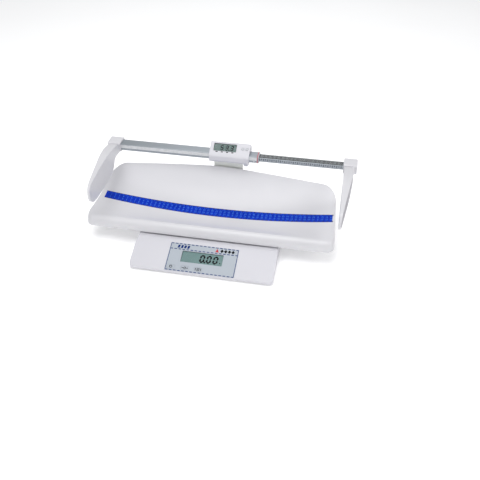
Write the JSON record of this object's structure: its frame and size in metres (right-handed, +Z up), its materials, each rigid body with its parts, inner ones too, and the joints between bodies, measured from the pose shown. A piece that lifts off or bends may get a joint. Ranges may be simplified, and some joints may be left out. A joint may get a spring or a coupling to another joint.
{
  "type": "infant scale with length rod",
  "caption": "Digital infant weighing scale: concave tray with inlaid tape on a low base with LCD console, telescoping length rod with head and foot paddles.",
  "frame": {"origin": "centre of the base's four feet, on the plane of their soles", "axes": "+X along the tray towards the foot paddle, +Y from the console towards the length rod, +Z up"},
  "size_m": [0.6065, 0.293, 0.1856],
  "materials": {
    "white_gloss": "smooth white moulded plastic",
    "white_satin": "fine satin white moulded plastic",
    "rubber_black": "black rubber, fine grain",
    "steel": "zinc-plated steel",
    "anodised": "satin anodised extrusion",
    "machined": "machined aluminium",
    "label": "printed polyester overlay",
    "lens": "clear lens",
    "lcd": "grey-green liquid crystal display",
    "pcb": "green solder mask",
    "black": "black moulded plastic",
    "tape_blue": "blue printed tape with white graduations",
    "red": "red plastic",
    "scale_strip": "printed graduated strip",
    "cell": "printed battery jacket",
    "nylon": "natural nylon",
    "grey_button": "grey push button"
  },
  "bodies": {
    "scale": {"base_housing": "white_satin", "base_cover": "white_satin", "rubber_feet": "rubber_black", "foot_screws": "steel", "case_screws": "steel", "console_label": "label", "console_window": "lens", "main_lcd": "lcd", "main_board": "pcb", "board_screws": "steel", "key_switches": "black", "power_jack": "black", "batteries": "cell", "battery_contacts": "steel", "chassis_plate": "steel", "chassis_screws": "steel", "load_cell": "machined", "load_cell_bolts": "steel", "support_spider": "steel", "overload_stops": "steel", "support_grommets": "rubber_black", "tray": "white_gloss", "tray_screws": "steel", "measuring_tape": "tape_blue", "rod_bracket": "white_satin", "bracket_screws": "steel", "bracket_nuts": "steel", "rod_sleeve": "anodised", "sleeve_end_bush": "grey_button", "index_ring": "red", "sleeve_screw": "steel", "head_paddle": "white_gloss", "head_paddle_screws": "steel", "display_upper_shell": "white_satin", "display_lower_shell": "white_satin", "display_window": "lens", "display_lcd": "lcd", "display_board": "pcb", "display_button_board": "pcb", "display_batteries": "cell", "display_screws": "steel", "encoder_yoke": "black", "encoder_axle": "steel", "brake_pad": "nylon"},
    "length_rod": {"inner_bar": "anodised", "bar_scale": "scale_strip", "bar_glide": "nylon", "foot_paddle": "white_gloss", "foot_paddle_screws": "steel"},
    "encoder": {"encoder_roller": "black"},
    "power_key": {"key_power": "label"},
    "tare_key": {"key_tare": "label"},
    "hold_key": {"key_hold": "label"},
    "length_power_button": {"display_button_power": "grey_button"},
    "length_zero_button": {"display_button_zero": "grey_button"},
    "base_battery_door": {"battery_door": "white_satin"},
    "length_battery_door": {"display_battery_door": "white_satin"},
    "rod_lock": {"lock_screw": "machined"}
  },
  "joints": [
    {"name": "rod_extend", "type": "slide", "parent": "scale", "child": "length_rod", "axis": [1, 0, 0], "range_m": [-0.19, 0.07]},
    {"name": "encoder_spin", "type": "hinge", "parent": "scale", "child": "encoder", "pos_m": [0.039, 0.146, 0.1703], "axis": [0, 1, 0], "range_deg": [-850, 2300]},
    {"name": "power_key_press", "type": "slide", "parent": "scale", "child": "power_key", "axis": [0, 0.3339, -0.9426], "range_m": [0, 0.0005], "stiffness_N_per_m": 3000},
    {"name": "tare_key_press", "type": "slide", "parent": "scale", "child": "tare_key", "axis": [0, 0.3339, -0.9426], "range_m": [0, 0.0005], "stiffness_N_per_m": 3000},
    {"name": "hold_key_press", "type": "slide", "parent": "scale", "child": "hold_key", "axis": [0, 0.3339, -0.9426], "range_m": [0, 0.0005], "stiffness_N_per_m": 3000},
    {"name": "length_power_press", "type": "slide", "parent": "scale", "child": "length_power_button", "axis": [0, 0.592, -0.8059], "range_m": [0, 0.001], "stiffness_N_per_m": 2000},
    {"name": "length_zero_press", "type": "slide", "parent": "scale", "child": "length_zero_button", "axis": [0, 0.592, -0.8059], "range_m": [0, 0.001], "stiffness_N_per_m": 2000},
    {"name": "base_door_lift", "type": "slide", "parent": "scale", "child": "base_battery_door", "axis": [0, 0, -1], "range_m": [0, 0.03]},
    {"name": "length_door_pull", "type": "slide", "parent": "scale", "child": "length_battery_door", "axis": [0, 1, 0], "range_m": [0, 0.03]},
    {"name": "lock_turn", "type": "hinge", "parent": "scale", "child": "rod_lock", "pos_m": [0.056, 0.1405, 0.14], "axis": [0, 0, 1], "range_deg": [0, 360]}
  ],
  "couplings": [
    {"joint": "encoder_spin", "follows": "rod_extend", "rad_per_m": -208.33}
  ]
}
